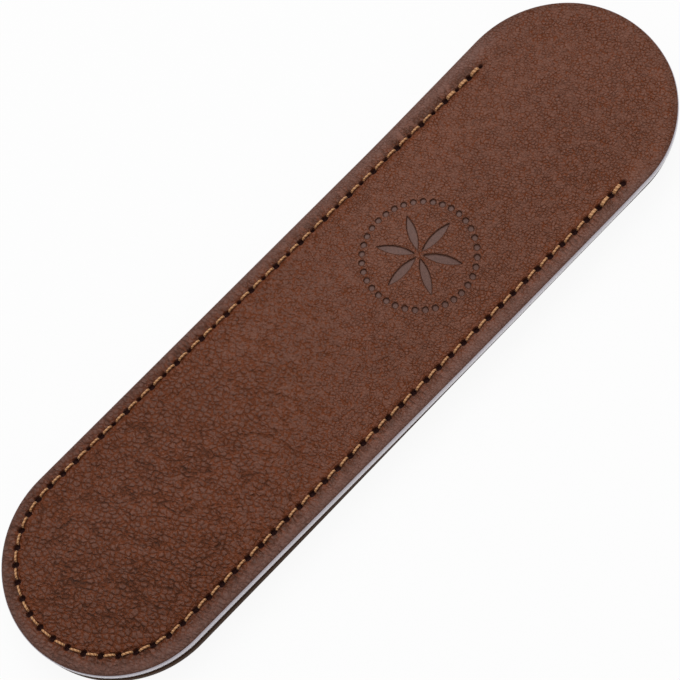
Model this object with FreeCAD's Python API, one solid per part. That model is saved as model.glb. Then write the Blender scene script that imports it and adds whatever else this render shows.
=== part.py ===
"""Leather sleeve for one fountain pen, as separate pieces, in millimetres.

The sleeve lies on its back. X runs across it, Y runs along it towards the mouth and Z points up.
The origin is under the middle of the sleeve, on the plane that it rests on.
"""

import FreeCAD
import Part

import math
import os

from FreeCAD import Vector

# Outline: two straight sides and two round ends.
case_length = 160.0
case_width = 43.0
edge_rounding = 0.8
largest_rounding_share = 0.9

# Layers of each panel, and the cement between the two panels.
leather_thickness = 1.4
lining_thickness = 0.7
cement_thickness = 0.3

# Swell of the two panels away from each other, which makes the pocket.
front_swell = 2.2
back_swell = 2.2
swell_ease_radius = 10.0
back_level_half_width = 5.0

# Seam, a U that starts and ends short of the mouth and runs slightly askew to the outline.
seam_inset = 3.2
seam_to_swell = 1.7
seam_end_to_tip = 24.9
seam_skew_deg = 0.7

# Stitches: each is one strand that lies in a shallow seat and turns down into a hole at both ends.
stitch_pitch = 3.24
thread_diameter = 0.5
thread_sink = 0.3
strand_inner_bend = 0.1
strand_gap = 0.04
strand_turn_deg = 35.0
hole_clearance = 0.03
seat_clearance = 0.05

# Cement, a U between the swell and the edge.
cement_edge_inset = 0.4
cement_swell_gap = 0.3
cement_past_seam = 1.2

# Lips, which bend at a line just past the ends of the seam.
seam_end_to_flex = 2.9
flex_slit = 0.2

# Places that follow from the sizes above.
rim_radius = case_width / 2
bottom_arc_y = rim_radius - case_length / 2
mouth_arc_y = case_length / 2 - rim_radius
seam_radius = rim_radius - seam_inset
swell_radius = seam_radius - seam_to_swell
seam_end_y = case_length / 2 - seam_end_to_tip
flex_y = seam_end_y + seam_end_to_flex

# Heights of the layers at the flat margin, from the back's face to the front's face.
back_face_z = back_swell
back_lining_z = back_face_z + leather_thickness
cement_z = back_lining_z + lining_thickness
front_lining_z = cement_z + cement_thickness
front_leather_z = front_lining_z + lining_thickness
front_face_z = front_leather_z + leather_thickness
lock_z = cement_z + cement_thickness / 2
total_height = front_face_z + front_swell

# The edge's rounding, which stays inside the leather.
rim_rounding = min(edge_rounding, largest_rounding_share * leather_thickness)

# Stitch sizes that follow from the thread.
thread_radius = thread_diameter / 2
strand_bend = thread_radius + strand_inner_bend
strand_offset = (thread_diameter + strand_gap) / 2
hole_radius = strand_offset + thread_radius + hole_clearance
seat_width = thread_diameter + 2 * seat_clearance
seat_depth = thread_sink + seat_clearance


def line(start, end):
    return Part.LineSegment(start, end).toShape()


def arc(start, middle, end):
    return Part.Arc(start, middle, end).toShape()


def swell_line(base_z, swell, level_half_width):
    """Half of a panel's cross line, from the middle of the panel to where its flat margin begins.

    A level stretch, an arc that bends down to the margin and an arc that eases into the margin, all tangent.
    """
    reach = swell_radius - level_half_width
    slope = 2 * math.atan(abs(swell) / reach)
    side = math.copysign(1, swell)
    crown_radius = reach / math.sin(slope) - swell_ease_radius

    def crown_point(angle):
        drop = crown_radius * (1 - math.cos(angle))
        return Vector(level_half_width + crown_radius * math.sin(angle), 0, base_z + swell - side * drop)

    def ease_point(angle):
        rise = swell_ease_radius * (1 - math.cos(angle))
        return Vector(swell_radius - swell_ease_radius * math.sin(angle), 0, base_z + side * rise)

    edges = [
        arc(crown_point(0), crown_point(slope / 2), crown_point(slope)),
        arc(ease_point(slope), ease_point(slope / 2), ease_point(0)),
    ]
    if level_half_width > 0:
        edges.insert(0, line(Vector(0, 0, base_z + swell), crown_point(0)))
    return edges


def rim_line(bottom_z, top_z, round_bottom, round_top):
    """The margin and the edge of one layer, from the swell's foot below to the swell's foot above."""
    corner = rim_rounding * (1 - math.sqrt(0.5))
    inner_bottom = Vector(swell_radius, 0, bottom_z)
    inner_top = Vector(swell_radius, 0, top_z)
    low = Vector(rim_radius, 0, bottom_z)
    high = Vector(rim_radius, 0, top_z)
    edges = []
    if round_bottom:
        margin_end = low - Vector(rim_rounding, 0, 0)
        side_start = low + Vector(0, 0, rim_rounding)
        edges.append(line(inner_bottom, margin_end))
        edges.append(arc(margin_end, low + Vector(-corner, 0, corner), side_start))
    else:
        side_start = low
        edges.append(line(inner_bottom, low))
    if round_top:
        side_end = high - Vector(0, 0, rim_rounding)
        margin_start = high - Vector(rim_rounding, 0, 0)
        edges.append(line(side_start, side_end))
        edges.append(arc(side_end, high + Vector(-corner, 0, -corner), margin_start))
        edges.append(line(margin_start, inner_top))
    else:
        edges.append(line(side_start, high))
        edges.append(line(high, inner_top))
    return edges


def half_section(bottom_z, thickness, swell, level_half_width=0, round_bottom=False, round_top=False):
    """Half of a layer's cross section, on the +X side of its middle."""
    top_z = bottom_z + thickness
    lower = swell_line(bottom_z, swell, level_half_width)
    upper = swell_line(top_z, swell, level_half_width)
    rim = rim_line(bottom_z, top_z, round_bottom, round_top)
    middle = line(Vector(0, 0, bottom_z + swell), Vector(0, 0, top_z + swell))
    return Part.Face(Part.Wire(Part.__sortEdges__([middle] + lower + rim + upper)))


def round_end(section, centre_y, outward):
    """A half section turned half a turn about the centre of a round end."""
    centre = Vector(0, centre_y, 0)
    return section.translated(centre).revolve(centre, Vector(0, 0, outward), 180)


def whole_layer(section):
    """One layer with the full outline of the sleeve, before it is parted at the flex line."""
    start = section.translated(Vector(0, bottom_arc_y, 0))
    right = start.extrude(Vector(0, mouth_arc_y - bottom_arc_y, 0))
    left = right.mirror(Vector(0, 0, 0), Vector(1, 0, 0))
    ends = [round_end(section, bottom_arc_y, -1), round_end(section, mouth_arc_y, 1)]
    return right.fuse([left] + ends).removeSplitter()


def between(start_y, end_y):
    """A block that holds everything between two places along the sleeve."""
    corner = Vector(-case_width, start_y, -total_height)
    return Part.makeBox(2 * case_width, end_y - start_y, 3 * total_height, corner)


def sewn_part(layer):
    return layer.common(between(-case_length, flex_y))


def lip_part(layer):
    return layer.common(between(flex_y + flex_slit, case_length))


def cement_layer():
    """A flat ring in the margin, which stops just past the ends of the seam."""
    inner = swell_radius + cement_swell_gap
    outer = rim_radius - cement_edge_inset
    corners = [
        Vector(inner, 0, cement_z),
        Vector(outer, 0, cement_z),
        Vector(outer, 0, front_lining_z),
        Vector(inner, 0, front_lining_z),
    ]
    ring = whole_layer(Part.Face(Part.makePolygon(corners, True)))
    return ring.common(between(-case_length, seam_end_y + cement_past_seam))


def seam_place(distance):
    """The point and the direction of the seam at a distance along it from its left end."""
    straight = seam_end_y - bottom_arc_y
    turn = math.pi * seam_radius
    if distance <= straight:
        point = Vector(-seam_radius, seam_end_y - distance, 0)
        heading = Vector(0, -1, 0)
    elif distance >= straight + turn:
        point = Vector(seam_radius, bottom_arc_y + distance - straight - turn, 0)
        heading = Vector(0, 1, 0)
    else:
        angle = math.pi + (distance - straight) / seam_radius
        point = Vector(seam_radius * math.cos(angle), bottom_arc_y + seam_radius * math.sin(angle), 0)
        heading = Vector(-math.sin(angle), math.cos(angle), 0)
    skew = FreeCAD.Rotation(Vector(0, 0, 1), -seam_skew_deg)
    return skew.multVec(point), skew.multVec(heading)


def seam_places():
    """The point and direction of every needle hole."""
    length = 2 * (seam_end_y - bottom_arc_y) + math.pi * seam_radius
    count = round(length / stitch_pitch)
    return [seam_place(length * index / count) for index in range(count + 1)]


def strand_ends():
    """The two ends of each stitch: it starts outward of its hole and ends inward of the next hole."""
    turn = FreeCAD.Rotation(Vector(0, 0, 1), -strand_turn_deg)
    places = seam_places()
    ends = []
    for (point, heading), (next_point, next_heading) in zip(places, places[1:]):
        start = point + turn.multVec(heading) * strand_offset
        end = next_point - turn.multVec(next_heading) * strand_offset
        ends.append((start, end))
    return ends


def needle_holes():
    points = [point for point, heading in seam_places()]
    return Part.makeCompound([Part.makeCylinder(hole_radius, total_height, point) for point in points])


def stitch_seats(bottom_z):
    """The shallow seats of all the stitches on one face, as blocks of one seat's depth."""
    seats = []
    for start, end in strand_ends():
        run = end - start
        seat = Part.makeBox(run.Length, seat_width, seat_depth, Vector(0, -seat_width / 2, 0))
        seat.rotate(Vector(0, 0, 0), Vector(0, 0, 1), math.degrees(math.atan2(run.y, run.x)))
        seats.append(seat.translated(start + Vector(0, 0, bottom_z)))
    return Part.makeCompound(seats)


def strand(start, end, face_z, side):
    """One stitch, from the lock in the middle of the layers, over the face and down to the next lock.

    side is 1 on the front's face and -1 on the back's face.
    """
    along = (end - start).normalize()
    top_z = face_z + side * (thread_radius - thread_sink)
    bend = strand_bend
    bend_middle = bend * (1 - math.sqrt(0.5))

    def place(origin, inward, below_top):
        return origin + along * inward + Vector(0, 0, top_z - side * below_top)

    first_foot = Vector(start.x, start.y, lock_z)
    last_foot = Vector(end.x, end.y, lock_z)
    path = Part.Wire(
        [
            line(first_foot, place(start, 0, bend)),
            arc(place(start, 0, bend), place(start, bend_middle, bend_middle), place(start, bend, 0)),
            line(place(start, bend, 0), place(end, -bend, 0)),
            arc(place(end, -bend, 0), place(end, -bend_middle, bend_middle), place(end, 0, bend)),
            line(place(end, 0, bend), last_foot),
        ]
    )
    section = Part.Wire(Part.Circle(first_foot, Vector(0, 0, side), thread_radius).toShape())
    return path.makePipeShell([section], True, False)


def thread_line(face_z, side):
    return Part.makeCompound([strand(start, end, face_z, side) for start, end in strand_ends()])


def front_layer(bottom_z, thickness, round_top):
    return whole_layer(half_section(bottom_z, thickness, front_swell, round_top=round_top))


def back_layer(bottom_z, thickness, round_bottom):
    level = back_level_half_width
    return whole_layer(half_section(bottom_z, thickness, -back_swell, level, round_bottom=round_bottom))


def build():
    front_leather = front_layer(front_leather_z, leather_thickness, True)
    front_lining = front_layer(front_lining_z, lining_thickness, False)
    back_lining = back_layer(back_lining_z, lining_thickness, False)
    back_leather = back_layer(back_face_z, leather_thickness, True)
    holes = needle_holes()
    return {
        "front_leather": sewn_part(front_leather).cut(holes).cut(stitch_seats(front_face_z - seat_depth)),
        "front_lip_leather": lip_part(front_leather),
        "front_lining": sewn_part(front_lining).cut(holes),
        "front_lip_lining": lip_part(front_lining),
        "seam_cement": cement_layer().cut(holes),
        "back_lining": sewn_part(back_lining).cut(holes),
        "back_lip_lining": lip_part(back_lining),
        "back_leather": sewn_part(back_leather).cut(holes).cut(stitch_seats(back_face_z)),
        "back_lip_leather": lip_part(back_leather),
        "needle_thread": thread_line(front_face_z, 1),
        "bobbin_thread": thread_line(back_face_z, -1),
    }


def main():
    os.makedirs("parts", exist_ok=True)
    for name, shape in build().items():
        shape.exportStep(f"parts/{name}.step")


main()
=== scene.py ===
"""The looks of a slim stitched leather sleeve for one pen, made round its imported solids.

The front and back panels, their linings and the two threads of the seam are modelled here in fine detail.
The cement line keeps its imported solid. All places are in metres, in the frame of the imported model.
"""

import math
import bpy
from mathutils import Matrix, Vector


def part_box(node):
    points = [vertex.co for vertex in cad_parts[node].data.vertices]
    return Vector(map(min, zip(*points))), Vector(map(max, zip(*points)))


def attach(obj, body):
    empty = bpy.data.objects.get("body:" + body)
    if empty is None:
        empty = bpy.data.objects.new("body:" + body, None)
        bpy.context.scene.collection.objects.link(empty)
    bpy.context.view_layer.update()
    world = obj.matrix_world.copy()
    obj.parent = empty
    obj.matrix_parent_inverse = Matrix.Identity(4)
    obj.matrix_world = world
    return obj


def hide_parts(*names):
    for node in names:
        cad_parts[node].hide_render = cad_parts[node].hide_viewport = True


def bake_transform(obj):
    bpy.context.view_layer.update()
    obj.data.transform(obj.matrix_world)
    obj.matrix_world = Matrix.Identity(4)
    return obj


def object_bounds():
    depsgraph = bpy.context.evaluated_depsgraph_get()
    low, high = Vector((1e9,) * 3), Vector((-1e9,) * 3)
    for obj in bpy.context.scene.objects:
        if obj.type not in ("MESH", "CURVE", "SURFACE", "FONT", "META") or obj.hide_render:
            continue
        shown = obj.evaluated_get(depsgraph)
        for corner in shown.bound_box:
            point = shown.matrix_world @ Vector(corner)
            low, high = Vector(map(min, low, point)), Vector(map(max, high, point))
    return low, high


bl_info = {
    "name": "Stitched pen sleeve",
    "version": (1, 0, 0),
    "blender": (4, 5, 0),
    "location": "3D View > Sidebar > Pen sleeve",
    "description": "Models the leather, linings, thread and stage of a stitched pen sleeve",
    "category": "Object",
}

import bmesh
import bpy
from bmesh.types import BMEdge, BMFace, BMVert
from mathutils import Matrix, Vector, kdtree, noise

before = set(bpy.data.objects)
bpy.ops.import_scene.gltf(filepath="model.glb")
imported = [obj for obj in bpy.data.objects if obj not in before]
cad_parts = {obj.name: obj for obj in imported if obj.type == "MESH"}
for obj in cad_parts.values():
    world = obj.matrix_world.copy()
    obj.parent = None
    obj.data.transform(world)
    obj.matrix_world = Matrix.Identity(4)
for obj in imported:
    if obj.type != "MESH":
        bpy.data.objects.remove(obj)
cad_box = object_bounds()

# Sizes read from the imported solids.
leather_low, leather_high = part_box("front_leather")
lining_low, lining_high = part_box("front_lining")
back_low, back_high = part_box("back_leather")
rim_radius = (cad_box[1].x - cad_box[0].x) / 2
half_straight = (cad_box[1].y - cad_box[0].y) / 2 - rim_radius
lining_thickness = leather_low.z - lining_low.z
front_swell = lining_high.z - lining_low.z - lining_thickness
leather_thickness = leather_high.z - leather_low.z - front_swell
back_swell = back_high.z - back_low.z - leather_thickness
front_face = leather_low.z + leather_thickness
back_face = back_low.z + back_swell

# Sizes of the solids' swell, repeated because a box doesn't give them.
swell_radius = 0.0166
swell_ease_radius = 0.010
back_level = 0.005

# How far the front's end stands up at the mouth, and where that begins.
mouth_lift = 0.0022
mouth_lift_start = 0.046

# How far the panels' margins have crept on a used sleeve, and between which places along it.
margin_free = (rim_radius - 0.0024, rim_radius - 0.0004)
front_creep_least = 0.00005
front_creep_more = 0.00055
front_creep_rise = (-0.060, 0.030)
front_left_creep = 0.00040
front_left_rise = (0.025, half_straight)
back_creep = 0.00022
back_creep_fall = (-0.045, 0.010)

# How finely a panel is divided: squares across half of it, steps round half a turn, and rows along it.
squares_across = 21
steps_round = 66
rows_along = 117
merge_distance = 1e-6

# How near to the seam, a slit and the rosette's ring the squares are halved, round by round.
fine_near_seam = (0.00150, 0.00115)
fine_near_slit = 0.00100
fine_near_stamp = (0.0020, 0.0014, 0.0009)

# How the stitches draw the leather in: a wide pull and a narrow trough along a strand, a dimple at a slit.
pull_depth = 0.00012
pull_reach = (0.0004, 0.0016)
trough_depth = 0.00016
trough_reach = (0.00012, 0.00042)
dimple_depth = 0.00014
dimple_widths = (0.4, 1.2)
slit_wall_widths = (0.30, 0.56)

# The smoother leather of the margin, which fades at the mouth, and a darker line along the edge, painted as
# shade.
margin_width = 0.0025
mouth_fade = (0.054, 0.064)
mouth_fade_share = 0.6
face_edge_shade = 0.25
face_edge_shade_width = 0.0004
rim_edge_shade = 0.35

# Where along the seam the strands begin to slant, and where they slant in full.
slant_shares = (0.42, 0.62)

# The leather's slow waves, which only go inward, and how far inside the edge they begin.
wave_depth = 0.00006
wave_scale = 160
wave_inset = (0.0012, 0.006)

# Where a strand leaves its slit, its rise out of the slit (along, height), and its top.
strand_start = 0.00076
strand_rise = ((0.0, -0.00070), (0.0, -0.00024), (0.00010, -0.00002), (0.00032, 0.00009))
strand_top = 0.00012
strand_sides = 8

# How far doubled strands lie to the side, in threads, and how much strands differ from each other.
doubled_shift = 0.27
strand_wobble = 0.05
wobble_step = 0.7
wobble_turn = 0.6

# The stage: the colour of its light, half the floor's width, how white it looks, and the large soft lamp.
white = (1.0, 1.0, 1.0, 1.0)
floor_size = 2.0
floor_glow = 0.92
key_place = (-0.55, 0.50, 1.00)
key_size = 1.2


def smooth_step(value, low, high):
    """Rises from 0 at low to 1 at high."""
    share = min(max((value - low) / (high - low), 0.0), 1.0)
    return share * share * (3 - 2 * share)


def middle_line(spot):
    """The nearest point of the sleeve's middle line, which ends at the centres of its round ends."""
    return Vector((0.0, min(max(spot.y, -half_straight), half_straight)))


def from_middle(spot):
    """How far a spot lies from the sleeve's middle line."""
    return (spot - middle_line(spot)).length


class SleeveSide:
    """One side of the sleeve: the height of its flat margin, and its swell, which is level near the middle.

    way is 1 where the side's face looks up and -1 where it looks down.
    """

    def __init__(self, face, way, swell, level):
        self.face = face
        self.way = way
        self.swell = swell
        self.level = level

    def swell_height(self, distance):
        """How far the side stands out at a distance from the middle line."""
        if distance >= swell_radius:
            return 0.0
        if distance <= self.level:
            return self.swell
        reach = swell_radius - self.level
        slope = 2 * math.atan(self.swell / reach)
        crown_radius = reach / math.sin(slope) - swell_ease_radius
        past = distance - self.level
        if past <= crown_radius * math.sin(slope):
            return self.swell - crown_radius + math.sqrt(crown_radius**2 - past**2)
        inward = swell_radius - distance
        return swell_ease_radius - math.sqrt(swell_ease_radius**2 - inward**2)

    def height(self, spot, depth):
        """The height of the layer that lies at a depth under the face."""
        return self.face + self.way * (self.swell_height(from_middle(spot)) - depth)

    def under(self, depth):
        """The height of the flat margin at a depth under the face."""
        return self.face - self.way * depth


front_side = SleeveSide(front_face, 1, front_swell, 0.0)
back_side = SleeveSide(back_face, -1, back_swell, back_level)


class SeamSettings(bpy.types.PropertyGroup):
    """The seam's path, its holes and its thread."""

    inset: bpy.props.FloatProperty(
        name="Inset", description="From the edge to the seam", default=0.0032, unit="LENGTH"
    )
    end_y: bpy.props.FloatProperty(
        name="Seam end", description="How far along the sleeve the seam ends", default=0.0551, unit="LENGTH"
    )
    skew: bpy.props.FloatProperty(
        name="Skew",
        description="How far the seam is turned against the outline",
        default=math.radians(-0.7),
        unit="ROTATION",
    )
    stitches: bpy.props.IntProperty(name="Stitches", description="Stitches in the whole seam", default=88)
    doubled: bpy.props.IntProperty(
        name="Doubled stitches", description="Stitches sewn twice at each end of the seam", default=3
    )
    slit_length: bpy.props.FloatProperty(
        name="Slit length", description="Length of a needle's slit", default=0.00150, unit="LENGTH"
    )
    slit_width: bpy.props.FloatProperty(
        name="Slit width", description="Width of a needle's slit", default=0.00122, unit="LENGTH"
    )
    closed_up_share: bpy.props.FloatProperty(
        name="Closed-up slits",
        description="Size of every other slit on the left side, as a share of the full size",
        default=0.66,
    )
    closed_up_from: bpy.props.FloatProperty(
        name="Closed up from",
        description="How far along the sleeve the closed-up slits begin",
        default=-0.050,
        unit="LENGTH",
    )
    slit_turn: bpy.props.FloatProperty(
        name="Slit turn",
        description="Angle of the slits against the sleeve's length",
        default=math.radians(6),
        unit="ROTATION",
    )
    slit_depth: bpy.props.FloatProperty(
        name="Slit depth", description="Depth of a needle's slit", default=0.00095, unit="LENGTH"
    )
    slant: bpy.props.FloatProperty(
        name="Slant", description="Sideways shift of a strand's ends", default=0.00020, unit="LENGTH"
    )
    thread: bpy.props.FloatProperty(
        name="Thread", description="Diameter of the thread", default=0.00044, unit="LENGTH"
    )
    # The thread's colour, painted lighter as the highlight on the plies' tops.
    thread_lit_colour: bpy.props.FloatVectorProperty(
        name="Thread colour",
        description="Colour of the top of a strand",
        subtype="COLOR",
        default=(0.64, 0.34, 0.150),
    )
    thread_shade: bpy.props.FloatVectorProperty(
        name="Thread shade",
        description="Colour between the plies of a strand",
        subtype="COLOR",
        default=(0.29, 0.105, 0.026),
    )


class LeatherSettings(bpy.types.PropertyGroup):
    """The leather's colours and grain, and its painted edges."""

    # The pebbles' tops are their own colour painted cool grey as sheen from the soft light above.
    top_colour_and_sheen: bpy.props.FloatVectorProperty(
        name="Pebble tops",
        description="Colour of the tops of the pebbles",
        subtype="COLOR",
        default=(0.155, 0.0555, 0.031),
    )
    # The margin's colour is the smoother leather's own, painted lighter as a highlight towards the edge.
    margin_colour_and_highlight: bpy.props.FloatVectorProperty(
        name="Margin",
        description="Colour of the smoother leather outside the seam",
        subtype="COLOR",
        default=(0.172, 0.088, 0.070),
    )
    valley_colour: bpy.props.FloatVectorProperty(
        name="Pebble valleys",
        description="Colour between the pebbles",
        subtype="COLOR",
        default=(0.156, 0.030, 0.001),
    )
    # Painted shade: the dark colour put in the creases, between the pebbles, in the seam's wrinkles, along
    # the rosette's walls and the edge's top corner.
    crease_shade_colour: bpy.props.FloatVectorProperty(
        name="Creases",
        description="Colour of the long creases",
        subtype="COLOR",
        default=(0.033, 0.0095, 0.002),
    )
    # The smooth pressed leather's colour, painted greyer as sheen from the light behind.
    pressed_colour_and_sheen: bpy.props.FloatVectorProperty(
        name="Pressed leather",
        description="Colour of smooth pressed leather",
        subtype="COLOR",
        default=(0.112, 0.053, 0.040),
    )
    # Painted shade: the dark colour put inside the needle's slits.
    hole_shade_colour: bpy.props.FloatVectorProperty(
        name="Holes",
        description="Colour inside the needle's slits",
        subtype="COLOR",
        default=(0.019, 0.002, 0.001),
    )
    # The front edge's pale lavender is painted reflection: it stands in for the bright floor mirrored in
    # glossy dark-brown edge paint.
    front_edge_reflection_colour: bpy.props.FloatVectorProperty(
        name="Front edge",
        description="Edge paint of the front panel",
        subtype="COLOR",
        default=(0.60, 0.55, 0.62),
    )
    back_edge_colour: bpy.props.FloatVectorProperty(
        name="Back edge",
        description="Edge paint of the back panel",
        subtype="COLOR",
        default=(0.050, 0.022, 0.009),
    )
    coarse_pebble: bpy.props.FloatProperty(
        name="Coarse pebbles",
        description="Size of the pebbles near the closed end",
        default=0.00088,
        unit="LENGTH",
    )
    fine_pebble: bpy.props.FloatProperty(
        name="Fine pebbles",
        description="Size of the pebbles near the mouth",
        default=0.00060,
        unit="LENGTH",
    )
    grain_depth: bpy.props.FloatProperty(
        name="Grain depth", description="Height of the pebbles", default=0.00040, unit="LENGTH"
    )
    outer_rounding: bpy.props.FloatProperty(
        name="Outer rounding", description="Rounding at the face of a panel", default=0.00055, unit="LENGTH"
    )
    inner_rounding: bpy.props.FloatProperty(
        name="Inner rounding",
        description="Rounding at the lining's side of a panel",
        default=0.00030,
        unit="LENGTH",
    )
    paint_depth: bpy.props.FloatProperty(
        name="Paint depth",
        description="How far the edge paint reaches in over the lining",
        default=0.00045,
        unit="LENGTH",
    )


class StampSettings(bpy.types.PropertyGroup):
    """The pressed rosette on the front."""

    centre: bpy.props.FloatVectorProperty(
        name="Centre", description="Middle of the rosette", size=2, default=(0.0012, 0.0193), unit="LENGTH"
    )
    petal: bpy.props.FloatProperty(
        name="Petal", description="Length of a petal", default=0.0090, unit="LENGTH"
    )
    rib: bpy.props.FloatProperty(
        name="Rib", description="Half the raised rib between petals", default=0.00036, unit="LENGTH"
    )
    bead_ring: bpy.props.FloatProperty(
        name="Bead ring", description="Radius of the ring of dots", default=0.0107, unit="LENGTH"
    )
    bead: bpy.props.FloatProperty(name="Dot", description="Radius of a dot", default=0.00058, unit="LENGTH")
    beads: bpy.props.IntProperty(name="Dots", description="Dots in the ring", default=36)
    depth: bpy.props.FloatProperty(
        name="Depth", description="How deep the rosette is pressed", default=0.00026, unit="LENGTH"
    )


class LiningSettings(bpy.types.PropertyGroup):
    """The napped linings."""

    colour: bpy.props.FloatVectorProperty(
        name="Colour", description="Colour of the nap", subtype="COLOR", default=(0.105, 0.054, 0.034)
    )
    shade: bpy.props.FloatVectorProperty(
        name="Shade",
        description="Colour of brushed-down nap",
        subtype="COLOR",
        default=(0.046, 0.022, 0.014),
    )
    seat: bpy.props.FloatProperty(
        name="Seat", description="Clearance between leather and lining", default=0.00002, unit="LENGTH"
    )


class StageSettings(bpy.types.PropertyGroup):
    """The floor, the light and the camera."""

    camera_place: bpy.props.FloatVectorProperty(
        name="Camera",
        description="Where the camera stands",
        subtype="XYZ",
        default=(0.12316, -0.04919, 0.33751),
    )
    camera_aim: bpy.props.FloatVectorProperty(
        name="Aim",
        description="What the camera looks at",
        subtype="XYZ",
        default=(0.00127, -0.00201, 0.00670),
    )
    camera_roll: bpy.props.FloatProperty(
        name="Roll",
        description="How far the camera is turned about its line of sight",
        default=math.radians(-25.48),
        unit="ROTATION",
    )
    lens: bpy.props.FloatProperty(name="Lens", description="Focal length in millimetres", default=102.755)
    floor_colour: bpy.props.FloatVectorProperty(
        name="Floor", description="Colour of the floor", subtype="COLOR", default=(0.92, 0.92, 0.92)
    )
    sky: bpy.props.FloatProperty(
        name="Sky", description="Strength of the light from all round", default=0.45
    )
    key: bpy.props.FloatProperty(name="Key", description="Power of the large soft lamp", default=10.0)


class Wire:
    """An output of a finish's node, which can be used in sums as a number."""

    def __init__(self, finish, socket):
        self.finish = finish
        self.socket = socket

    def join(self, operation, first, second):
        return self.finish.number(operation, first, second)

    def __add__(self, other):
        return self.join("ADD", self, other)

    __radd__ = __add__

    def __sub__(self, other):
        return self.join("SUBTRACT", self, other)

    def __rsub__(self, other):
        return self.join("SUBTRACT", other, self)

    def __mul__(self, other):
        return self.join("MULTIPLY", self, other)

    __rmul__ = __mul__

    def __abs__(self):
        return self.join("ABSOLUTE", self, 0.0)


class Finish:
    """One material and the nodes that make it."""

    def __init__(self, name, owner=None):
        self.material = owner or bpy.data.materials.new(name)
        self.material.use_nodes = True
        self.tree = self.material.node_tree
        self.tree.nodes.clear()

    def node(self, kind, settings=None, values=None, output=0):
        """Adds a node, gives it its settings and then its sockets' values or links."""
        made = self.tree.nodes.new(kind)
        for name, value in (settings or {}).items():
            setattr(made, name, value)
        for name, value in (values or {}).items():
            if isinstance(value, Wire):
                self.tree.links.new(value.socket, made.inputs[name])
            else:
                made.inputs[name].default_value = value
        return Wire(self, made.outputs[output]) if len(made.outputs) else None

    def place(self):
        return self.node("ShaderNodeTexCoord", output="Object")

    def axis(self, place, name):
        return self.node("ShaderNodeSeparateXYZ", {}, {0: place}, name)

    def mask(self, name):
        return self.node("ShaderNodeAttribute", {"attribute_name": name}, output="Fac")

    def noise(self, place, size, detail=2.0, rough=0.5, output=0):
        values = {"Vector": place, "Scale": 1 / size, "Detail": detail, "Roughness": rough}
        return self.node("ShaderNodeTexNoise", {}, values, output)

    def cells(self, place, size, feature):
        values = {"Vector": place, "Scale": 1 / size, "Randomness": 0.90}
        settings = {"voronoi_dimensions": "2D", "feature": feature}
        return self.node("ShaderNodeTexVoronoi", settings, values, "Distance")

    def number(self, operation, first, second):
        return self.node("ShaderNodeMath", {"operation": operation}, {0: first, 1: second})

    def rise(self, value, low, high):
        """0 up to low, 1 from high on and a smooth rise between them."""
        values = {"Value": value, "From Min": low, "From Max": high}
        return self.node("ShaderNodeMapRange", {"interpolation_type": "SMOOTHSTEP"}, values)

    def tint(self, share, first, second, way="MIX"):
        """A mix of two colours; the Mix node's colour sockets come after those for numbers and vectors."""
        settings = {"data_type": "RGBA", "blend_type": way}
        colours = [c if isinstance(c, Wire) else (*c[:3], 1.0) for c in (first, second)]
        return self.node("ShaderNodeMix", settings, {0: share, 6: colours[0], 7: colours[1]}, 2)

    def grey(self, value):
        return self.node("ShaderNodeCombineColor", {}, {0: value, 1: value, 2: value})

    def vector(self, operation, first, second):
        return self.node("ShaderNodeVectorMath", {"operation": operation}, {0: first, 1: second})

    def turned(self, place, angle):
        values = {"Vector": place, "Angle": angle}
        return self.node("ShaderNodeVectorRotate", {"rotation_type": "Z_AXIS"}, values)

    def squeezed(self, place, share):
        """The place, drawn together along X, which draws a pattern on it out."""
        return self.vector("MULTIPLY", place, (share, 1.0, 1.0))

    def bent(self, place, size, reach):
        """The place, moved about by up to reach, so that a pattern on it is less regular."""
        drift = self.noise(place, size, 1.0, output="Color")
        centred = self.vector("SUBTRACT", drift, (0.5, 0.5, 0.5))
        return self.vector("ADD", place, self.vector("MULTIPLY", centred, (2 * reach,) * 3))

    def bump(self, height, depth):
        values = {"Height": height, "Distance": depth, "Strength": 1.0}
        return self.node("ShaderNodeBump", {}, values, "Normal")

    def vein(self, place, size, reach):
        """Thin curving lines through a place's noise, 1 on a line and 0 from reach on."""
        return 1 - self.rise(abs(self.noise(place, size, 2.0) - 0.5), 0.0, reach)

    def surface(self, **values):
        """The shader itself, with its values by the names of its sockets."""
        sockets = {name.replace("_", " "): value for name, value in values.items()}
        shader = self.node("ShaderNodeBsdfPrincipled", {}, sockets)
        self.node("ShaderNodeOutputMaterial", {}, {"Surface": shader})
        return self.material


def pebbles(finish, place, size, filled):
    """Soft pebbles that fill the whole face, about 1 at their tops and 0 between them."""
    edge = finish.cells(place, size, "DISTANCE_TO_EDGE")
    middle = finish.cells(place, size, "F1")
    dome = finish.rise(edge, -0.18, 0.36) * 0.80 + (0.55 - middle) * 0.40
    return dome + (0.60 - dome) * filled


def seam_chart(finish, place, seam):
    """The run along the seam and the reach from its middle line, and 1 where it is sewn.

    The seam is round at the closed end and straight from there to its ends.
    """
    straightened = finish.turned(place, -seam.skew)
    seam_x = finish.axis(straightened, "X")
    from_bend = finish.axis(straightened, "Y") + half_straight
    past_bend = finish.number("MINIMUM", from_bend, 0.0)
    angle = finish.number("ARCTAN2", seam_x, 0 - past_bend)
    run = angle * (rim_radius - seam.inset) + finish.number("MAXIMUM", from_bend, 0.0)
    reach = finish.number("POWER", seam_x * seam_x + past_bend * past_bend, 0.5)
    sewn = 1 - finish.rise(finish.axis(straightened, "Y"), seam.end_y - 0.0015, seam.end_y + 0.0015)
    return run, reach, sewn


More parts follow.
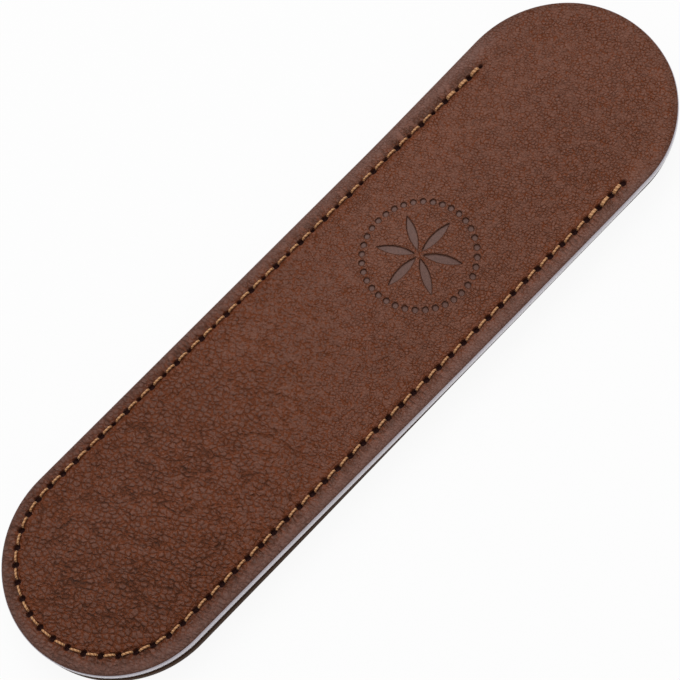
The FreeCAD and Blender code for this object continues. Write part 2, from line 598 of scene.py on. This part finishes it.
def leather_finish(leather, seam):
    """Pebbled brown leather: cool tops, painted grey as sheen, reddish valleys, long creases near the
    closed end, painted dark as shade.
    """
    finish = Finish("pebbled_leather")
    place = finish.place()
    press, pit, edge_shade, margin = [finish.mask(name) for name in ("press", "pit", "edge_shade", "margin")]
    patch = finish.noise(place, 0.014, 2.0)
    mottle = finish.noise(place, 0.0026, 3.0)
    cloud = finish.noise(place, 0.0009, 3.0, 0.62)
    fibre = finish.noise(place, 0.00036, 2.0, 0.6)
    slope = finish.axis(place, "Y") + finish.axis(place, "X") * 0.4
    fineness = finish.rise(slope + patch * 0.05, -0.025, 0.050)
    worn = finish.rise(patch, 0.25, 0.55) * (1 - fineness)

    # The grain and its creases are drawn out slantwise across the case.
    bent = finish.bent(finish.bent(place, 0.0030, 0.0005), 0.0006, 0.00030)
    slantwise = finish.turned(bent, math.radians(-26))
    filled = finish.rise(finish.noise(place, 0.0016, 2.0), 0.42, 0.66) * 0.50
    coarse = pebbles(finish, finish.squeezed(slantwise, 1 / 1.35), leather.coarse_pebble, filled)
    fine = pebbles(finish, finish.squeezed(slantwise, 1 / 1.15), leather.fine_pebble, filled)
    folded = finish.squeezed(slantwise, 0.36)
    folds = finish.vein(folded, 0.0054, 0.030) * 0.8 + finish.vein(folded, 0.0030, 0.032) * 0.8
    crease = folds * (0.06 + worn * 0.94)
    height = coarse + (fine - coarse) * (fineness * 0.85) + (cloud - 0.5) * 1.1 - crease * 0.50
    gap = 1 - finish.rise(height + (mottle - 0.5) * 0.6, -0.10, 0.42)

    # The seam lies in a groove, and the stitches draw short wrinkles across the margin outside it.
    seam_radius = rim_radius - seam.inset
    run, reach, sewn = seam_chart(finish, place, seam)
    outside = finish.rise(reach, seam_radius + 0.0002, rim_radius - 0.0004) * margin
    groove = sewn * (1 - finish.rise(abs(reach - (seam_radius - 0.0005)), 0.0003, 0.0011))
    chart = finish.node("ShaderNodeCombineXYZ", {}, {0: run, 1: reach * 0.30})
    inner = finish.rise(reach, seam_radius - 0.0012, seam_radius + 0.0002)
    outer = 1 - finish.rise(reach, seam_radius + 0.0010, seam_radius + 0.0028)
    pucker = finish.vein(chart, 0.0016, 0.12) * inner * outer * sewn * finish.rise(patch, 0.30, 0.60)

    shown = height + (mottle - 0.5) * 0.4 + (fibre - 0.5) * 0.9 + fineness * 0.18
    shade = 0.73 + 0.22 * patch + 0.19 * fineness + (fibre - 0.5) * 1.10
    # The pebbles' tops are painted cool grey as sheen; the valleys keep the leather's reddish colour.
    skin = finish.tint(finish.rise(shown, 0.42, 0.74), leather.valley_colour, leather.top_colour_and_sheen)
    # Painted shade: dark lines between the pebbles and along the long creases.
    skin = finish.tint(gap * (0.30 + 0.20 * worn), skin, leather.crease_shade_colour)
    skin = finish.tint(crease * 0.34, skin, leather.crease_shade_colour)
    # Painted shade in the seam's groove, towards the valleys' darker colour.
    skin = finish.tint(groove * 0.45, skin, leather.valley_colour)
    # The margin is painted lighter towards the edge as a highlight on its smoother leather.
    skin = finish.tint(outside * 0.60, skin, leather.margin_colour_and_highlight)
    # Painted shade in the short wrinkles beside the seam.
    skin = finish.tint(pucker * 0.60, skin, leather.crease_shade_colour)
    # The rosette's pressed leather, painted greyer as sheen on its smooth surface.
    skin = finish.tint(press, skin, leather.pressed_colour_and_sheen)
    skin = finish.tint(1.0, skin, finish.grey(shade), "MULTIPLY")
    # Painted shade along the walls of the pressed rosette.
    stamp_edge = finish.rise(press * (1 - press), 0.02, 0.30)
    skin = finish.tint(stamp_edge * 0.7, skin, leather.crease_shade_colour)
    # Painted shade along the rounded top corner of the edge.
    skin = finish.tint(edge_shade, skin, leather.crease_shade_colour)
    # The needle's slits are painted dark as shade.
    skin = finish.tint(pit, skin, leather.hole_shade_colour)
    rough = 0.60 - height * 0.14 + mottle * 0.06 - press * 0.06 + pit * 0.3
    smooth = (1 - press) * (1 - margin * 0.50) * (1 - fineness * 0.15)
    relief = (height + fibre * 0.10) * smooth - pucker * 0.40
    normal = finish.bump(relief, leather.grain_depth)
    return finish.surface(Base_Color=skin, Roughness=rough, Specular_IOR_Level=0.26, Normal=normal)


def edge_finish(name, colour, gloss, dull):
    """Thick edge paint, slightly uneven along the edge; dull adds to its roughness."""
    finish = Finish(name)
    place = finish.place()
    wave = finish.noise(place, 0.006, 2.0)
    speck = finish.noise(place, 0.0007, 2.0)
    worn = finish.rise(speck, 0.62, 0.74) * 0.25
    thin = [0.88 * c for c in colour]
    bare = [0.62 * c for c in colour]
    paint = finish.tint(finish.rise(wave, 0.2, 0.8), thin, colour)
    paint = finish.tint(worn, paint, bare)
    normal = finish.bump(wave * 0.7 + speck * 0.3, 0.00006)
    rough = 0.30 + dull + speck * 0.12
    return finish.surface(
        Base_Color=paint,
        Roughness=rough,
        Specular_IOR_Level=0.5 - dull,
        Coat_Weight=gloss,
        Coat_Roughness=0.12,
        Normal=normal,
    )


def lining_finish(lining):
    """Brushed microfibre, its nap lying both ways."""
    finish = Finish("napped_lining")
    place = finish.place()
    brushed = finish.noise(place, 0.007, 3.0, 0.6)
    nap = finish.noise(place, 0.00025, 3.0, 0.7)
    raised = finish.rise(brushed * 0.6 + nap * 0.5, 0.35, 0.75)
    colour = finish.tint(raised, lining.shade, lining.colour)
    rough = 0.90 + nap * 0.08
    normal = finish.bump(nap, 0.00008)
    return finish.surface(
        Base_Color=colour,
        Roughness=rough,
        Specular_IOR_Level=0.15,
        Sheen_Weight=0.10,
        Sheen_Roughness=0.5,
        Normal=normal,
    )


def thread_finish(seam):
    """Twisted polyester thread, from the strands' own map: along it and round it."""
    finish = Finish("twisted_thread")
    place = finish.place()
    chart = finish.node("ShaderNodeUVMap", {"uv_map": "strand"})
    twists = 6
    turn = (finish.axis(chart, "X") * twists + finish.axis(chart, "Y")) * (2 * math.pi)
    ply = finish.number("SINE", turn, 0.0) * 0.5 + 0.5
    fibre = finish.noise(place, 0.00012, 2.0)
    batch = finish.noise(place, 0.004, 1.0)
    # The plies' tops are painted lighter as highlight and the grooves between them darker as shade.
    lit = finish.rise(ply * 0.6 + fibre * 0.4 + batch * 0.3, 0.20, 0.95)
    colour = finish.tint(lit, seam.thread_shade, seam.thread_lit_colour)
    rough = 0.42 + fibre * 0.18
    normal = finish.bump(ply * 0.8 + fibre * 0.2, 0.00008)
    return finish.surface(
        Base_Color=colour, Roughness=rough, Sheen_Weight=0.15, Sheen_Roughness=0.35, Normal=normal
    )


def cement_finish():
    """Dried rubber cement between the linings, rubbed and dusty."""
    finish = Finish("dried_cement")
    place = finish.place()
    blot = finish.noise(place, 0.002, 3.0)
    grit = finish.noise(place, 0.0003, 2.0)
    dark = (0.030, 0.018, 0.012)
    dusty = (0.058, 0.036, 0.024)
    colour = finish.tint(finish.rise(blot, 0.3, 0.7), dark, dusty)
    rough = 0.62 + grit * 0.2
    return finish.surface(Base_Color=colour, Roughness=rough, Normal=finish.bump(grit, 0.00005))


class Seam:
    """Where the needle's slits and the strands of the seam lie, seen from the front."""

    def __init__(self, settings):
        self.settings = settings
        self.radius = rim_radius - settings.inset
        self.straight = settings.end_y + half_straight
        self.turn = math.pi * self.radius
        self.length = 2 * self.straight + self.turn
        self.pitch = self.length / settings.stitches
        self.skew = Matrix.Rotation(settings.skew, 2)
        self.slit = Vector((math.sin(settings.slit_turn), math.cos(settings.slit_turn)))
        self.holes = [self.place(i * self.pitch) for i in range(settings.stitches + 1)]
        self.strands = [self.strand(i) for i in range(settings.stitches)]
        self.hole_tree = self.tree(self.holes)
        self.strand_tree = self.tree([(a + b) / 2 for a, b in self.strands])

    def tree(self, spots):
        made = kdtree.KDTree(len(spots))
        for index, spot in enumerate(spots):
            made.insert((spot.x, spot.y, 0.0), index)
        made.balance()
        return made

    def place(self, distance):
        """The point of the seam at a distance from its left end."""
        if distance <= self.straight:
            point = Vector((-self.radius, self.settings.end_y - distance))
        elif distance >= self.straight + self.turn:
            point = Vector((self.radius, distance - self.straight - self.turn - half_straight))
        else:
            angle = math.pi + (distance - self.straight) / self.radius
            point = Vector((self.radius * math.cos(angle), self.radius * math.sin(angle) - half_straight))
        return self.skew @ point

    def strand(self, index):
        """The two ends of a strand, between two slits."""
        start = self.holes[index]
        end = self.holes[index + 1]
        heading = (end - start).normalized()
        outward = Vector((heading.y, -heading.x))
        share = smooth_step(index / self.settings.stitches, *slant_shares)
        shift = outward * (self.settings.slant * share)
        return start + shift, end - shift

    def well(self, spot):
        """The depth of the seam at a spot, and how far the spot is inside a slit."""
        settings = self.settings
        flat = (spot.x, spot.y, 0.0)
        start, end = self.strands[self.strand_tree.find(flat)[1]]
        run = end - start
        share = min(max((spot - start).dot(run) / run.length_squared, 0.0), 1.0)
        off = (spot - start - run * share).length
        pull = pull_depth * (1 - smooth_step(off, *pull_reach))
        trough = trough_depth * (1 - smooth_step(off, *trough_reach))
        hole_index = self.hole_tree.find(flat)[1]
        hole = self.holes[hole_index]
        closed_up = hole_index % 2 == 0 and hole.x < 0 and hole.y > settings.closed_up_from
        size = settings.closed_up_share if closed_up else 1.0
        width = settings.slit_width * size
        half = (settings.slit_length * size - width) / 2
        offset = spot - hole
        slide = min(max(offset.dot(self.slit), -half), half)
        gap = (offset - self.slit * slide).length
        inside = 1 - smooth_step(gap, *(width * share for share in slit_wall_widths))
        dimple = dimple_depth * (1 - smooth_step(gap, *(width * share for share in dimple_widths)))
        return max(pull + trough + dimple, settings.slit_depth * inside), inside


def rosette(spot, stamp):
    """How far a spot is pressed in by the rosette, from 0 to 1."""
    place = spot - Vector(stamp.centre)
    clear = 0.0015
    if place.length > stamp.bead_ring + clear:
        return 0.0
    soft = 0.00014
    pressed = 0.0
    # Each petal lies between two circles, whose middles are a petal's length away to its sides.
    for index in range(6):
        middle = math.radians(60 * index + 30)
        sides = (middle - math.pi / 3, middle + math.pi / 3)
        arms = [Vector((math.cos(side), math.sin(side))) for side in sides]
        edge = max((place - arm * stamp.petal).length - stamp.petal for arm in arms)
        pressed = max(pressed, 1 - smooth_step(edge + stamp.rib, -soft, soft))
    angle = 2 * math.pi / stamp.beads
    turn = round(math.atan2(place.y, place.x) / angle) * angle
    dot = Vector((math.cos(turn), math.sin(turn))) * stamp.bead_ring
    return max(pressed, 1 - smooth_step((place - dot).length - stamp.bead, -soft, soft))


def of_kind(parts, kind):
    """The points, edges or faces among what a bmesh operator made."""
    return [part for part in parts if isinstance(part, kind)]


def plan_sheet(shape, reach):
    """A flat sheet with the sleeve's outline: a line spun round each end and drawn along the straight."""
    first = shape.verts.new((0.0, -half_straight, 0.0))
    last = shape.verts.new((reach, -half_straight, 0.0))
    edge = shape.edges.new((first, last))
    bmesh.ops.subdivide_edges(shape, edges=[edge], cuts=squares_across - 1)
    half_line = list(shape.verts) + list(shape.edges)
    spun = bmesh.ops.spin(
        shape,
        geom=half_line,
        cent=(0.0, -half_straight, 0.0),
        axis=(0.0, 0.0, 1.0),
        angle=-math.pi,
        steps=steps_round,
        use_merge=False,
    )
    row = of_kind(half_line + spun["geom_last"], BMEdge)
    for _ in range(rows_along):
        drawn = bmesh.ops.extrude_edge_only(shape, edges=row)["geom"]
        step = (0.0, 2 * half_straight / rows_along, 0.0)
        bmesh.ops.translate(shape, verts=of_kind(drawn, BMVert), vec=step)
        row = [edge for edge in of_kind(drawn, BMEdge) if is_level(edge)]
    right = [e for e in row if (e.verts[0].co.x + e.verts[1].co.x) > 0]
    points = list({v for e in right for v in e.verts})
    bmesh.ops.spin(
        shape,
        geom=points + right,
        cent=(0.0, half_straight, 0.0),
        axis=(0.0, 0.0, 1.0),
        angle=math.pi,
        steps=steps_round,
        use_merge=False,
    )
    bmesh.ops.remove_doubles(shape, verts=list(shape.verts), dist=merge_distance)


def is_level(edge):
    """Whether an edge runs across the sleeve."""
    return abs(edge.verts[0].co.y - edge.verts[1].co.y) < merge_distance / 10


def refine(shape, wanted, rounds):
    """Halves the squares of a sheet, in rounds, where they are wanted; the squares at its edge stay."""
    for step in range(rounds):
        chosen = [
            face
            for face in shape.faces
            if len(face.verts) == 4
            and not any(edge.is_boundary for edge in face.edges)
            and wanted(face.calc_center_median().xy, step)
        ]
        edges = list({edge for face in chosen for edge in face.edges})
        bmesh.ops.subdivide_edges(shape, edges=edges, cuts=1, use_grid_fill=True)


def draw_rim(shape, profile):
    """Carries a sheet's open edge along (distance from the middle line, height, material) points."""
    edges = [edge for edge in shape.edges if edge.is_boundary]
    # A mask for the darker line painted as shade along the rounded edge.
    dark = shape.verts.layers.float.get("edge_shade") or shape.verts.layers.float.new("edge_shade")
    for reach, height, material in profile:
        drawn = bmesh.ops.extrude_edge_only(shape, edges=edges)["geom"]
        for vert in of_kind(drawn, BMVert):
            middle = middle_line(vert.co)
            outward = (vert.co.xy - middle).normalized()
            vert.co = (middle + outward * reach).to_3d()
            vert.co.z = height
            vert[dark] = rim_edge_shade
        for face in of_kind(drawn, BMFace):
            face.material_index = material
        edges = [edge for edge in of_kind(drawn, BMEdge) if edge.is_boundary]


def close_sheet(shape, reach, side, depth):
    """Adds a sheet of the same outline across an open edge, at a depth under the face, and joins them."""
    under = bmesh.new()
    plan_sheet(under, reach)
    for vert in under.verts:
        vert.co.z = side.height(vert.co.xy, depth)
    mesh = bpy.data.meshes.new("under")
    under.to_mesh(mesh)
    under.free()
    shape.from_mesh(mesh)
    bpy.data.meshes.remove(mesh)
    bmesh.ops.remove_doubles(shape, verts=list(shape.verts), dist=2 * merge_distance)
    bmesh.ops.recalc_face_normals(shape, faces=list(shape.faces))


def add_object(name, shape, finishes):
    """Turns a finished shape into an object of the scene."""
    mesh = bpy.data.meshes.new(name)
    shape.to_mesh(mesh)
    shape.free()
    for finish in finishes:
        mesh.materials.append(finish)
    made = bpy.data.objects.new(name, mesh)
    bpy.context.scene.collection.objects.link(made)
    return made


def make_piece(name, shape, finishes):
    """Turns a finished shape into a smooth piece with the given finishes."""
    piece = add_object(name, shape, finishes)
    faces = piece.data.polygons
    faces.foreach_set("use_smooth", [True] * len(faces))
    return piece


def ease_edges(shape, side):
    """Shifts a side's margin, and lifts the front at the mouth, as on a used sleeve."""
    in_front = side.way > 0
    for vert in shape.verts:
        spot = vert.co.xy
        free = smooth_step(from_middle(spot), *margin_free)
        if spot.x > 0 and in_front:
            creep = front_creep_least + front_creep_more * smooth_step(spot.y, *front_creep_rise)
        elif spot.x > 0:
            creep = back_creep * (1 - smooth_step(spot.y, *back_creep_fall))
        elif in_front:
            creep = -front_left_creep * smooth_step(spot.y, *front_left_rise)
        else:
            creep = 0.0
        vert.co.x += creep * free * min(abs(spot.x) / (0.5 * rim_radius), 1.0)
        if in_front:
            share = max((spot.y - mouth_lift_start) / (cad_box[1].y - mouth_lift_start), 0.0)
            vert.co.z += mouth_lift * share * share


def edge_profile(leather, side):
    """A panel's edge, from its face to its inner side: (distance, height, material) points."""
    rounding = leather.outer_rounding
    small = leather.inner_rounding
    total = leather_thickness + lining_thickness - small * 0.1
    inner_reach = rim_radius - leather.paint_depth
    profile = []
    for step in range(1, 7):
        angle = math.radians(15 * step)
        reach = rim_radius - rounding * (1 - math.sin(angle))
        material = 0 if step < 4 else 1
        profile.append((reach, side.under(rounding * (1 - math.cos(angle))), material))
    for step in range(4):
        angle = math.radians(30 * step)
        reach = rim_radius - small * (1 - math.cos(angle))
        profile.append((reach, side.under(total - small * (1 - math.sin(angle))), 1))
    profile.append((inner_reach, side.under(total), 1))
    profile.append((inner_reach, side.under(leather_thickness), 1))
    return profile


def leather_panel(name, side, seam, edge_paint, stamp=None):
    """A leather panel: its grained face with the seam's slits, its painted edge and its inner face."""
    scene = bpy.context.scene
    leather = scene.sleeve_leather
    shape = bmesh.new()
    masks = {key: shape.verts.layers.float.new(key) for key in ("pit", "press", "margin", "edge_shade")}
    face_reach = rim_radius - leather.outer_rounding
    plan_sheet(shape, face_reach)

    def wanted(spot, step):
        flat = (spot.x, spot.y, 0.0)
        hole_gap = seam.hole_tree.find(flat)[2]
        if step < len(fine_near_seam):
            near = min(hole_gap, seam.strand_tree.find(flat)[2]) < fine_near_seam[step]
        else:
            near = hole_gap < fine_near_slit
        if stamp and not near:
            gap = (spot - Vector(stamp.centre)).length - stamp.bead_ring
            near = gap < fine_near_stamp[step]
        return near

    refine(shape, wanted, len(fine_near_stamp))
    for vert in shape.verts:
        spot = vert.co.xy
        distance = from_middle(spot)
        depth, inside = seam.well(spot)
        press = rosette(spot, stamp) if stamp else 0.0
        calm = smooth_step(rim_radius - distance, *wave_inset)
        wave = (noise.noise(vert.co * wave_scale) - 1) * wave_depth * calm
        fade = mouth_fade_share * smooth_step(spot.y, *mouth_fade)
        outside = smooth_step(distance, swell_radius, swell_radius + margin_width)
        # A darker line painted as shade along the face's rounded edge.
        rim_line = smooth_step(distance, face_reach - face_edge_shade_width, face_reach)
        vert[masks["pit"]] = inside
        vert[masks["press"]] = press
        vert[masks["margin"]] = outside * (1 - fade)
        vert[masks["edge_shade"]] = face_edge_shade * rim_line
        out = side.swell_height(distance) + wave - depth
        if stamp:
            out -= stamp.depth * press
        vert.co.z = side.face + side.way * out
    draw_rim(shape, edge_profile(leather, side))
    close_sheet(shape, rim_radius - leather.paint_depth, side, leather_thickness)
    ease_edges(shape, side)
    finishes = [leather_finish(leather, scene.sleeve_seam), edge_paint]
    return make_piece(name, shape, finishes)


def lining_reach():
    """How far a lining goes from the middle line, inside the painted edge."""
    scene = bpy.context.scene
    return rim_radius - scene.sleeve_leather.paint_depth - scene.sleeve_lining.seat


def lining_panel(name, side):
    """The lining behind a leather panel: two faces and a cut edge."""
    lining = bpy.context.scene.sleeve_lining
    reach = lining_reach()
    inner = leather_thickness + lining_thickness
    shape = bmesh.new()
    plan_sheet(shape, reach)
    for vert in shape.verts:
        vert.co.z = side.height(vert.co.xy, leather_thickness + lining.seat)
    draw_rim(shape, [(reach, side.under(inner), 0)])
    close_sheet(shape, reach, side, inner)
    ease_edges(shape, side)
    return make_piece(name, shape, [lining_finish(lining)])


def strand_mesh(seam):
    """One stitch of thread, out of one slit and into the next, along X with its face up."""
    path = [(strand_start + along, height) for along, height in strand_rise]
    path.append((seam.pitch / 2, strand_top))
    path += [(seam.pitch - strand_start - along, height) for along, height in reversed(strand_rise)]
    shape = bmesh.new()
    chart = shape.loops.layers.uv.new("strand")
    radius = seam.settings.thread / 2
    ring = bmesh.ops.create_circle(shape, cap_ends=True, segments=strand_sides, radius=radius)["verts"]
    bmesh.ops.translate(shape, verts=ring, vec=(path[0][0], 0.0, path[0][1]))
    edges = list({edge for vert in ring for edge in vert.link_edges})
    rings = [ring]
    heading = math.pi / 2
    for index in range(1, len(path)):
        before = path[index - 1]
        here = path[index]
        after = path[min(index + 1, len(path) - 1)]
        aim = math.atan2(after[1] - before[1], after[0] - before[0])
        drawn = bmesh.ops.extrude_edge_only(shape, edges=edges)["geom"]
        verts = of_kind(drawn, BMVert)
        move = (here[0] - before[0], 0.0, here[1] - before[1])
        bmesh.ops.translate(shape, verts=verts, vec=move)
        turn = Matrix.Rotation(heading - aim, 3, "Y")
        bmesh.ops.rotate(shape, verts=verts, cent=(here[0], 0.0, here[1]), matrix=turn)
        heading = aim
        rings.append(verts)
        edges = [edge for edge in of_kind(drawn, BMEdge) if edge.is_boundary]
    bmesh.ops.edgeloop_fill(shape, edges=edges)
    bmesh.ops.recalc_face_normals(shape, faces=list(shape.faces))
    # The map gives each point its share of the way along the strand and of the turn round it.
    spots = {}
    for index, verts in enumerate(rings):
        middle = sum((v.co for v in verts), Vector()) / len(verts)
        for vert in verts:
            arm = vert.co - middle
            lift = math.copysign(math.hypot(arm.x, arm.z), arm.z if abs(arm.z) > 1e-9 else -arm.x)
            spots[vert] = (index / (len(rings) - 1), math.atan2(arm.y, lift) / (2 * math.pi))
    for face in shape.faces:
        most = max(spots[loop.vert][1] for loop in face.loops)
        for loop in face.loops:
            along, round_it = spots[loop.vert]
            if most - round_it > 0.5:
                round_it += 1
            loop[chart].uv = (along, round_it)
    mesh = bpy.data.meshes.new("strand")
    shape.to_mesh(mesh)
    shape.free()
    return mesh


def thread_row(name, side, seam):
    """All the strands of one thread; those at both ends of the seam are sewn twice."""
    settings = seam.settings
    strand = strand_mesh(seam)
    shape = bmesh.new()
    # The first strand only brings the thread's map and is taken out again.
    shape.from_mesh(strand)
    bmesh.ops.delete(shape, geom=list(shape.verts), context="VERTS")
    for index, (start, end) in enumerate(seam.strands):
        run = end - start
        outward = Vector((run.y, -run.x)).normalized()
        twice = index < settings.doubled or index >= settings.stitches - settings.doubled
        for shift in (-doubled_shift, doubled_shift) if twice else (0.0,):
            base = start + outward * (shift * settings.thread)
            wobble = strand_wobble * noise.noise(Vector((index * wobble_step, shift, side.way)))
            matrix = (
                Matrix.Translation((base.x, base.y, side.face))
                @ Matrix.Rotation(math.atan2(run.y, run.x) + wobble * wobble_turn, 4, "Z")
                @ Matrix.Diagonal((run.length / seam.pitch, 1.0 + wobble, side.way * (1.0 + wobble), 1.0))
            )
            count = len(shape.verts)
            shape.from_mesh(strand)
            shape.verts.ensure_lookup_table()
            bmesh.ops.transform(shape, matrix=matrix, verts=shape.verts[count:])
    bpy.data.meshes.remove(strand)
    ease_edges(shape, side)
    bmesh.ops.recalc_face_normals(shape, faces=list(shape.faces))
    return make_piece(name, shape, [thread_finish(settings)])


def bend_with(piece):
    """Bakes a panel's placing into its mesh."""
    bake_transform(piece)


class SLEEVE_OT_front_leather(bpy.types.Operator):
    """Model the front panel with its grain, slits, rosette and painted edge"""

    bl_idname = "sleeve.front_leather"
    bl_label = "Front leather"

    def execute(self, context):
        scene = context.scene
        seam = Seam(scene.sleeve_seam)
        # The front edge is painted pale as a reflection of the bright floor.
        paint = edge_finish("front_edge_painted_reflection", scene.sleeve_leather.front_edge_reflection_colour, 0.6, 0.0)
        piece = leather_panel("front_panel", front_side, seam, paint, scene.sleeve_stamp)
        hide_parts("front_leather", "front_lip_leather")
        bend_with(piece)
        return {"FINISHED"}


class SLEEVE_OT_back_leather(bpy.types.Operator):
    """Model the back panel with its grain, slits and painted edge"""

    bl_idname = "sleeve.back_leather"
    bl_label = "Back leather"

    def execute(self, context):
        scene = context.scene
        seam = Seam(scene.sleeve_seam)
        paint = edge_finish("back_edge_paint", scene.sleeve_leather.back_edge_colour, 0.0, 0.35)
        piece = leather_panel("back_panel", back_side, seam, paint)
        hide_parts("back_leather", "back_lip_leather")
        bend_with(piece)
        return {"FINISHED"}


class SLEEVE_OT_linings(bpy.types.Operator):
    """Model the napped linings behind both panels"""

    bl_idname = "sleeve.linings"
    bl_label = "Linings"

    def execute(self, context):
        front = lining_panel("front_nap", front_side)
        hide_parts("front_lining", "front_lip_lining")
        bend_with(front)
        back = lining_panel("back_nap", back_side)
        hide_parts("back_lining", "back_lip_lining")
        bend_with(back)
        return {"FINISHED"}


class SLEEVE_OT_threads(bpy.types.Operator):
    """Sew the needle thread in front and the bobbin thread behind"""

    bl_idname = "sleeve.threads"
    bl_label = "Threads"

    def execute(self, context):
        seam = Seam(context.scene.sleeve_seam)
        needle = thread_row("needle_strands", front_side, seam)
        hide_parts("needle_thread")
        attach(needle, "sewn_sleeve")
        bobbin = thread_row("bobbin_strands", back_side, seam)
        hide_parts("bobbin_thread")
        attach(bobbin, "sewn_sleeve")
        return {"FINISHED"}


class SLEEVE_OT_cement(bpy.types.Operator):
    """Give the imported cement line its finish"""

    bl_idname = "sleeve.cement"
    bl_label = "Cement"

    def execute(self, context):
        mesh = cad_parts["seam_cement"].data
        mesh.materials.clear()
        mesh.materials.append(cement_finish())
        return {"FINISHED"}


class SLEEVE_OT_stage(bpy.types.Operator):
    """Lay the floor and set the light and the camera"""

    bl_idname = "sleeve.stage"
    bl_label = "Stage"

    def execute(self, context):
        scene = context.scene
        stage = scene.sleeve_stage
        scene.view_settings.view_transform = "Standard"
        self.floor(stage)
        self.sky(scene, stage)
        self.lamp(scene, "key", key_place, key_size, stage.key)
        self.camera(scene, stage)
        return {"FINISHED"}

    def seen(self, finish):
        """1 where the camera, a reflection or glass looks, 0 for light that falls on the object."""
        rays = ("Is Camera Ray", "Is Glossy Ray", "Is Transmission Ray")
        camera, glossy, clear = [finish.node("ShaderNodeLightPath", output=ray) for ray in rays]
        settings = {"operation": "ADD", "use_clamp": True}
        return finish.node("ShaderNodeMath", settings, {0: camera + glossy, 1: clear})

    def floor(self, stage):
        shape = bmesh.new()
        bmesh.ops.create_grid(shape, x_segments=8, y_segments=8, size=floor_size)
        finish = Finish("pale_floor")
        seen_white = self.seen(finish) * floor_glow
        matt = finish.node("ShaderNodeBsdfDiffuse", {}, {"Color": (*stage.floor_colour, 1.0)})
        glow = finish.node("ShaderNodeEmission", {}, {"Color": white, "Strength": 1.0})
        both = finish.node("ShaderNodeMixShader", {}, {0: seen_white, 1: matt, 2: glow})
        finish.node("ShaderNodeOutputMaterial", {}, {"Surface": both})
        add_object("floor", shape, [finish.material])

    def sky(self, scene, stage):
        scene.world = bpy.data.worlds.new("studio")
        finish = Finish("studio", scene.world)
        strength = stage.sky + self.seen(finish) * (1.0 - stage.sky)
        light = finish.node("ShaderNodeBackground", {}, {"Color": white, "Strength": strength})
        finish.node("ShaderNodeOutputWorld", {}, {"Surface": light})

    def lamp(self, scene, name, place, size, power):
        light = bpy.data.lights.new(name, "AREA")
        light.shape = "SQUARE"
        light.size = size
        light.energy = power
        lamp = bpy.data.objects.new(name, light)
        lamp.location = place
        lamp.rotation_euler = (-Vector(place)).to_track_quat("-Z", "Y").to_euler()
        scene.collection.objects.link(lamp)

    def camera(self, scene, stage):
        data = bpy.data.cameras.new("camera")
        data.lens = stage.lens
        data.sensor_width = 36.0
        data.clip_start = 0.01
        camera = bpy.data.objects.new("camera", data)
        place = Vector(stage.camera_place)
        look = (Vector(stage.camera_aim) - place).to_track_quat("-Z", "Y").to_matrix().to_4x4()
        camera.matrix_world = Matrix.Translation(place) @ look @ Matrix.Rotation(stage.camera_roll, 4, "Z")
        scene.collection.objects.link(camera)
        scene.camera = camera


class SLEEVE_PT_panel(bpy.types.Panel):
    """The steps that make the sleeve, and its settings"""

    bl_idname = "SLEEVE_PT_panel"
    bl_label = "Pen sleeve"
    bl_space_type = "VIEW_3D"
    bl_region_type = "UI"
    bl_category = "Pen sleeve"

    def draw(self, context):
        for step in steps:
            self.layout.operator(step.bl_idname)
        for name, group in groups.items():
            box = self.layout.box()
            settings = getattr(context.scene, name)
            for key in group.__annotations__:
                box.prop(settings, key)


groups = {
    "sleeve_seam": SeamSettings,
    "sleeve_leather": LeatherSettings,
    "sleeve_stamp": StampSettings,
    "sleeve_lining": LiningSettings,
    "sleeve_stage": StageSettings,
}
steps = (
    SLEEVE_OT_front_leather,
    SLEEVE_OT_back_leather,
    SLEEVE_OT_linings,
    SLEEVE_OT_threads,
    SLEEVE_OT_cement,
    SLEEVE_OT_stage,
)


def register():
    for group in groups.values():
        bpy.utils.register_class(group)
    for step in steps:
        bpy.utils.register_class(step)
    bpy.utils.register_class(SLEEVE_PT_panel)
    for name, group in groups.items():
        setattr(bpy.types.Scene, name, bpy.props.PointerProperty(type=group))


def unregister():
    for name in groups:
        delattr(bpy.types.Scene, name)
    bpy.utils.unregister_class(SLEEVE_PT_panel)
    for step in reversed(steps):
        bpy.utils.unregister_class(step)
    for group in reversed(groups.values()):
        bpy.utils.unregister_class(group)


def main():
    register()
    bpy.ops.sleeve.front_leather()
    bpy.ops.sleeve.back_leather()
    bpy.ops.sleeve.linings()
    bpy.ops.sleeve.threads()
    bpy.ops.sleeve.cement()
    bpy.ops.sleeve.stage()


if __name__ == "__main__":
    main()
